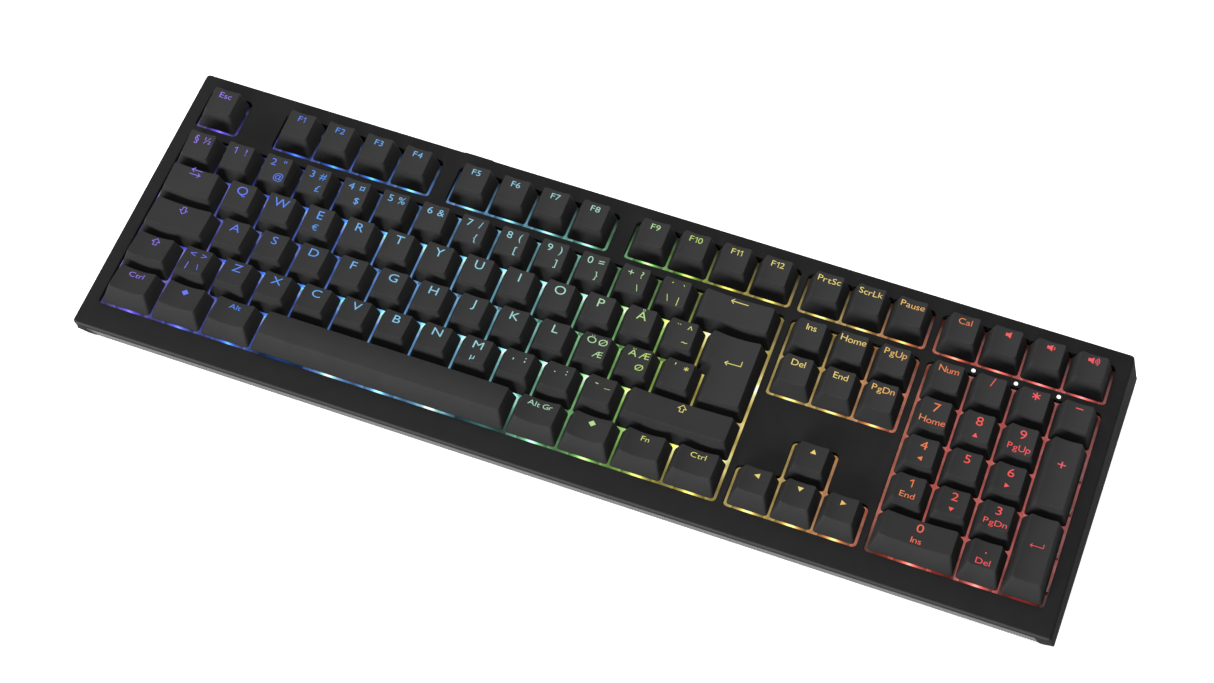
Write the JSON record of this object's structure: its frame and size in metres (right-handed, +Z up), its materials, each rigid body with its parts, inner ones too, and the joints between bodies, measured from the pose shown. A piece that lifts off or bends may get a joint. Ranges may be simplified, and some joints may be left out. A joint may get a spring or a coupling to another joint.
{
  "type": "mechanical keyboard",
  "caption": "Full-size wedge keyboard: sculpted dark keycaps over a lit switch plate, in a two-shell case with folding tilt feet.",
  "frame": {"origin": "on the desk, under the middle of the keyboard's outline", "axes": "+X along the rows of keys towards the numeric pad, +Y from the user to the rear edge, +Z up; the keyboard rests on its pads with its feet folded"},
  "size_m": [0.4514, 0.1474, 0.0359],
  "materials": {
    "case_plastic": "satin",
    "trim_plastic": "matte",
    "keycap_plastic": "matte",
    "switch_plastic": "satin",
    "switch_plate": "satin",
    "circuit_board": "satin",
    "steel": "satin",
    "pad_rubber": "matte",
    "indicator_light": "gloss",
    "legend_light": "satin",
    "key_light": "satin"
  },
  "bodies": {
    "case": {"top_case": "case_plastic", "bottom_case": "case_plastic", "front_trim": "trim_plastic", "switch_plate": "switch_plate", "switch_housings": "switch_plastic", "circuit_board": "circuit_board", "usb_socket": "steel", "indicator_light_guide": "indicator_light", "front_pad": "pad_rubber", "rear_pad_left": "pad_rubber", "rear_pad_right": "pad_rubber"},
    "escape_key": {"escape_key": "keycap_plastic"},
    "f1_to_f4_keys": {"f1_to_f4_keys": "keycap_plastic"},
    "f5_to_f8_keys": {"f5_to_f8_keys": "keycap_plastic"},
    "f9_to_f12_keys": {"f9_to_f12_keys": "keycap_plastic"},
    "print_to_pause_keys": {"print_to_pause_keys": "keycap_plastic"},
    "calculator_and_volume_keys": {"calculator_and_volume_keys": "keycap_plastic"},
    "number_row_left_keys": {"number_row_left_keys": "keycap_plastic"},
    "number_row_right_keys": {"number_row_right_keys": "keycap_plastic"},
    "backspace_key": {"backspace_key": "keycap_plastic"},
    "insert_to_page_up_keys": {"insert_to_page_up_keys": "keycap_plastic"},
    "numpad_top_row_keys": {"numpad_top_row_keys": "keycap_plastic"},
    "tab_key": {"tab_key": "keycap_plastic"},
    "q_row_left_keys": {"q_row_left_keys": "keycap_plastic"},
    "q_row_right_keys": {"q_row_right_keys": "keycap_plastic"},
    "delete_to_page_down_keys": {"delete_to_page_down_keys": "keycap_plastic"},
    "numpad_789_keys": {"numpad_789_keys": "keycap_plastic"},
    "caps_lock_key": {"caps_lock_key": "keycap_plastic"},
    "a_row_left_keys": {"a_row_left_keys": "keycap_plastic"},
    "a_row_right_keys": {"a_row_right_keys": "keycap_plastic"},
    "numpad_456_keys": {"numpad_456_keys": "keycap_plastic"},
    "left_shift_key": {"left_shift_key": "keycap_plastic"},
    "z_row_left_keys": {"z_row_left_keys": "keycap_plastic"},
    "z_row_right_keys": {"z_row_right_keys": "keycap_plastic"},
    "right_shift_key": {"right_shift_key": "keycap_plastic"},
    "arrow_up_key": {"arrow_up_key": "keycap_plastic"},
    "numpad_123_keys": {"numpad_123_keys": "keycap_plastic"},
    "left_ctrl_key": {"left_ctrl_key": "keycap_plastic"},
    "left_super_key": {"left_super_key": "keycap_plastic"},
    "left_alt_key": {"left_alt_key": "keycap_plastic"},
    "space_bar": {"space_bar": "keycap_plastic"},
    "alt_gr_key": {"alt_gr_key": "keycap_plastic"},
    "right_super_key": {"right_super_key": "keycap_plastic"},
    "fn_key": {"fn_key": "keycap_plastic"},
    "right_ctrl_key": {"right_ctrl_key": "keycap_plastic"},
    "arrow_left_to_right_keys": {"arrow_left_to_right_keys": "keycap_plastic"},
    "numpad_0_key": {"numpad_0_key": "keycap_plastic"},
    "numpad_dot_key": {"numpad_dot_key": "keycap_plastic"},
    "enter_key": {"enter_key": "keycap_plastic"},
    "numpad_plus_key": {"numpad_plus_key": "keycap_plastic"},
    "numpad_enter_key": {"numpad_enter_key": "keycap_plastic"},
    "backspace_stabiliser_wire": {"backspace_stabiliser_wire": "steel"},
    "right_shift_stabiliser_wire": {"right_shift_stabiliser_wire": "steel"},
    "space_stabiliser_wire": {"space_stabiliser_wire": "steel"},
    "numpad_0_stabiliser_wire": {"numpad_0_stabiliser_wire": "steel"},
    "enter_stabiliser_wire": {"enter_stabiliser_wire": "steel"},
    "numpad_plus_stabiliser_wire": {"numpad_plus_stabiliser_wire": "steel"},
    "numpad_enter_stabiliser_wire": {"numpad_enter_stabiliser_wire": "steel"},
    "tilt_foot_left": {"tilt_foot_left": "case_plastic"},
    "tilt_foot_right": {"tilt_foot_right": "case_plastic"}
  },
  "joints": [
    {"name": "press_escape_key", "type": "slide", "parent": "case", "child": "escape_key", "axis": [0, 0.0698, -0.9976], "range_m": [0, 0.004], "stiffness_N_per_m": 90, "springref_m": -0.0035},
    {"name": "press_f1_to_f4_keys", "type": "slide", "parent": "case", "child": "f1_to_f4_keys", "axis": [0, 0.0698, -0.9976], "range_m": [0, 0.004], "stiffness_N_per_m": 360, "springref_m": -0.0035},
    {"name": "press_f5_to_f8_keys", "type": "slide", "parent": "case", "child": "f5_to_f8_keys", "axis": [0, 0.0698, -0.9976], "range_m": [0, 0.004], "stiffness_N_per_m": 360, "springref_m": -0.0035},
    {"name": "press_f9_to_f12_keys", "type": "slide", "parent": "case", "child": "f9_to_f12_keys", "axis": [0, 0.0698, -0.9976], "range_m": [0, 0.004], "stiffness_N_per_m": 360, "springref_m": -0.0035},
    {"name": "press_print_to_pause_keys", "type": "slide", "parent": "case", "child": "print_to_pause_keys", "axis": [0, 0.0698, -0.9976], "range_m": [0, 0.004], "stiffness_N_per_m": 270, "springref_m": -0.0035},
    {"name": "press_calculator_and_volume_keys", "type": "slide", "parent": "case", "child": "calculator_and_volume_keys", "axis": [0, 0.0698, -0.9976], "range_m": [0, 0.004], "stiffness_N_per_m": 360, "springref_m": -0.0035},
    {"name": "press_number_row_left_keys", "type": "slide", "parent": "case", "child": "number_row_left_keys", "axis": [0, 0.0698, -0.9976], "range_m": [0, 0.004], "stiffness_N_per_m": 540, "springref_m": -0.0035},
    {"name": "press_number_row_right_keys", "type": "slide", "parent": "case", "child": "number_row_right_keys", "axis": [0, 0.0698, -0.9976], "range_m": [0, 0.004], "stiffness_N_per_m": 630, "springref_m": -0.0035},
    {"name": "press_backspace_key", "type": "slide", "parent": "case", "child": "backspace_key", "axis": [0, 0.0698, -0.9976], "range_m": [0, 0.004], "stiffness_N_per_m": 90, "springref_m": -0.0035},
    {"name": "press_insert_to_page_up_keys", "type": "slide", "parent": "case", "child": "insert_to_page_up_keys", "axis": [0, 0.0698, -0.9976], "range_m": [0, 0.004], "stiffness_N_per_m": 270, "springref_m": -0.0035},
    {"name": "press_numpad_top_row_keys", "type": "slide", "parent": "case", "child": "numpad_top_row_keys", "axis": [0, 0.0698, -0.9976], "range_m": [0, 0.004], "stiffness_N_per_m": 360, "springref_m": -0.0035},
    {"name": "press_tab_key", "type": "slide", "parent": "case", "child": "tab_key", "axis": [0, 0.0698, -0.9976], "range_m": [0, 0.004], "stiffness_N_per_m": 90, "springref_m": -0.0035},
    {"name": "press_q_row_left_keys", "type": "slide", "parent": "case", "child": "q_row_left_keys", "axis": [0, 0.0698, -0.9976], "range_m": [0, 0.004], "stiffness_N_per_m": 450, "springref_m": -0.0035},
    {"name": "press_q_row_right_keys", "type": "slide", "parent": "case", "child": "q_row_right_keys", "axis": [0, 0.0698, -0.9976], "range_m": [0, 0.004], "stiffness_N_per_m": 630, "springref_m": -0.0035},
    {"name": "press_delete_to_page_down_keys", "type": "slide", "parent": "case", "child": "delete_to_page_down_keys", "axis": [0, 0.0698, -0.9976], "range_m": [0, 0.004], "stiffness_N_per_m": 270, "springref_m": -0.0035},
    {"name": "press_numpad_789_keys", "type": "slide", "parent": "case", "child": "numpad_789_keys", "axis": [0, 0.0698, -0.9976], "range_m": [0, 0.004], "stiffness_N_per_m": 270, "springref_m": -0.0035},
    {"name": "press_caps_lock_key", "type": "slide", "parent": "case", "child": "caps_lock_key", "axis": [0, 0.0698, -0.9976], "range_m": [0, 0.004], "stiffness_N_per_m": 90, "springref_m": -0.0035},
    {"name": "press_a_row_left_keys", "type": "slide", "parent": "case", "child": "a_row_left_keys", "axis": [0, 0.0698, -0.9976], "range_m": [0, 0.004], "stiffness_N_per_m": 450, "springref_m": -0.0035},
    {"name": "press_a_row_right_keys", "type": "slide", "parent": "case", "child": "a_row_right_keys", "axis": [0, 0.0698, -0.9976], "range_m": [0, 0.004], "stiffness_N_per_m": 630, "springref_m": -0.0035},
    {"name": "press_numpad_456_keys", "type": "slide", "parent": "case", "child": "numpad_456_keys", "axis": [0, 0.0698, -0.9976], "range_m": [0, 0.004], "stiffness_N_per_m": 270, "springref_m": -0.0035},
    {"name": "press_left_shift_key", "type": "slide", "parent": "case", "child": "left_shift_key", "axis": [0, 0.0698, -0.9976], "range_m": [0, 0.004], "stiffness_N_per_m": 90, "springref_m": -0.0035},
    {"name": "press_z_row_left_keys", "type": "slide", "parent": "case", "child": "z_row_left_keys", "axis": [0, 0.0698, -0.9976], "range_m": [0, 0.004], "stiffness_N_per_m": 540, "springref_m": -0.0035},
    {"name": "press_z_row_right_keys", "type": "slide", "parent": "case", "child": "z_row_right_keys", "axis": [0, 0.0698, -0.9976], "range_m": [0, 0.004], "stiffness_N_per_m": 450, "springref_m": -0.0035},
    {"name": "press_right_shift_key", "type": "slide", "parent": "case", "child": "right_shift_key", "axis": [0, 0.0698, -0.9976], "range_m": [0, 0.004], "stiffness_N_per_m": 90, "springref_m": -0.0035},
    {"name": "press_arrow_up_key", "type": "slide", "parent": "case", "child": "arrow_up_key", "axis": [0, 0.0698, -0.9976], "range_m": [0, 0.004], "stiffness_N_per_m": 90, "springref_m": -0.0035},
    {"name": "press_numpad_123_keys", "type": "slide", "parent": "case", "child": "numpad_123_keys", "axis": [0, 0.0698, -0.9976], "range_m": [0, 0.004], "stiffness_N_per_m": 270, "springref_m": -0.0035},
    {"name": "press_left_ctrl_key", "type": "slide", "parent": "case", "child": "left_ctrl_key", "axis": [0, 0.0698, -0.9976], "range_m": [0, 0.004], "stiffness_N_per_m": 90, "springref_m": -0.0035},
    {"name": "press_left_super_key", "type": "slide", "parent": "case", "child": "left_super_key", "axis": [0, 0.0698, -0.9976], "range_m": [0, 0.004], "stiffness_N_per_m": 90, "springref_m": -0.0035},
    {"name": "press_left_alt_key", "type": "slide", "parent": "case", "child": "left_alt_key", "axis": [0, 0.0698, -0.9976], "range_m": [0, 0.004], "stiffness_N_per_m": 90, "springref_m": -0.0035},
    {"name": "press_space_bar", "type": "slide", "parent": "case", "child": "space_bar", "axis": [0, 0.0698, -0.9976], "range_m": [0, 0.004], "stiffness_N_per_m": 110, "springref_m": -0.0035},
    {"name": "press_alt_gr_key", "type": "slide", "parent": "case", "child": "alt_gr_key", "axis": [0, 0.0698, -0.9976], "range_m": [0, 0.004], "stiffness_N_per_m": 90, "springref_m": -0.0035},
    {"name": "press_right_super_key", "type": "slide", "parent": "case", "child": "right_super_key", "axis": [0, 0.0698, -0.9976], "range_m": [0, 0.004], "stiffness_N_per_m": 90, "springref_m": -0.0035},
    {"name": "press_fn_key", "type": "slide", "parent": "case", "child": "fn_key", "axis": [0, 0.0698, -0.9976], "range_m": [0, 0.004], "stiffness_N_per_m": 90, "springref_m": -0.0035},
    {"name": "press_right_ctrl_key", "type": "slide", "parent": "case", "child": "right_ctrl_key", "axis": [0, 0.0698, -0.9976], "range_m": [0, 0.004], "stiffness_N_per_m": 90, "springref_m": -0.0035},
    {"name": "press_arrow_left_to_right_keys", "type": "slide", "parent": "case", "child": "arrow_left_to_right_keys", "axis": [0, 0.0698, -0.9976], "range_m": [0, 0.004], "stiffness_N_per_m": 270, "springref_m": -0.0035},
    {"name": "press_numpad_0_key", "type": "slide", "parent": "case", "child": "numpad_0_key", "axis": [0, 0.0698, -0.9976], "range_m": [0, 0.004], "stiffness_N_per_m": 90, "springref_m": -0.0035},
    {"name": "press_numpad_dot_key", "type": "slide", "parent": "case", "child": "numpad_dot_key", "axis": [0, 0.0698, -0.9976], "range_m": [0, 0.004], "stiffness_N_per_m": 90, "springref_m": -0.0035},
    {"name": "press_enter_key", "type": "slide", "parent": "case", "child": "enter_key", "axis": [0, 0.0698, -0.9976], "range_m": [0, 0.004], "stiffness_N_per_m": 90, "springref_m": -0.0035},
    {"name": "press_numpad_plus_key", "type": "slide", "parent": "case", "child": "numpad_plus_key", "axis": [0, 0.0698, -0.9976], "range_m": [0, 0.004], "stiffness_N_per_m": 90, "springref_m": -0.0035},
    {"name": "press_numpad_enter_key", "type": "slide", "parent": "case", "child": "numpad_enter_key", "axis": [0, 0.0698, -0.9976], "range_m": [0, 0.004], "stiffness_N_per_m": 90, "springref_m": -0.0035},
    {"name": "turn_backspace_stabiliser_wire", "type": "hinge", "parent": "case", "child": "backspace_stabiliser_wire", "pos_m": [0.05239, 0.03355, 0.01953], "axis": [1, 0, 0], "range_deg": [0, 26.77]},
    {"name": "turn_right_shift_stabiliser_wire", "type": "hinge", "parent": "case", "child": "right_shift_stabiliser_wire", "pos_m": [0.04524, -0.02346, 0.01555], "axis": [1, 0, 0], "range_deg": [0, 26.77]},
    {"name": "turn_space_stabiliser_wire", "type": "hinge", "parent": "case", "child": "space_stabiliser_wire", "pos_m": [-0.08334, -0.04247, 0.01422], "axis": [1, 0, 0], "range_deg": [0, 26.77]},
    {"name": "turn_numpad_0_stabiliser_wire", "type": "hinge", "parent": "case", "child": "numpad_0_stabiliser_wire", "pos_m": [0.15716, -0.04247, 0.01422], "axis": [1, 0, 0], "range_deg": [0, 26.77]},
    {"name": "turn_enter_stabiliser_wire", "type": "hinge", "parent": "case", "child": "enter_stabiliser_wire", "pos_m": [0.06773, -0.00314, 0.01697], "axis": [0, -0.9976, -0.0698], "range_deg": [0, 26.77]},
    {"name": "turn_numpad_plus_stabiliser_wire", "type": "hinge", "parent": "case", "child": "numpad_plus_stabiliser_wire", "pos_m": [0.21299, -0.00314, 0.01697], "axis": [0, -0.9976, -0.0698], "range_deg": [0, 26.77]},
    {"name": "turn_numpad_enter_stabiliser_wire", "type": "hinge", "parent": "case", "child": "numpad_enter_stabiliser_wire", "pos_m": [0.21299, -0.04114, 0.01431], "axis": [0, -0.9976, -0.0698], "range_deg": [0, 26.77]},
    {"name": "unfold_tilt_foot_left", "type": "hinge", "parent": "case", "child": "tilt_foot_left", "pos_m": [-0.186, 0.056, 0.0036], "axis": [1, 0, 0], "range_deg": [0, 100]},
    {"name": "unfold_tilt_foot_right", "type": "hinge", "parent": "case", "child": "tilt_foot_right", "pos_m": [0.186, 0.056, 0.0036], "axis": [1, 0, 0], "range_deg": [0, 100]}
  ],
  "couplings": [
    {"joint": "turn_backspace_stabiliser_wire", "follows": "press_backspace_key", "rad_per_m": 116.6},
    {"joint": "turn_right_shift_stabiliser_wire", "follows": "press_right_shift_key", "rad_per_m": 116.6},
    {"joint": "turn_space_stabiliser_wire", "follows": "press_space_bar", "rad_per_m": 116.6},
    {"joint": "turn_numpad_0_stabiliser_wire", "follows": "press_numpad_0_key", "rad_per_m": 116.6},
    {"joint": "turn_enter_stabiliser_wire", "follows": "press_enter_key", "rad_per_m": 116.6},
    {"joint": "turn_numpad_plus_stabiliser_wire", "follows": "press_numpad_plus_key", "rad_per_m": 116.6},
    {"joint": "turn_numpad_enter_stabiliser_wire", "follows": "press_numpad_enter_key", "rad_per_m": 116.6}
  ]
}
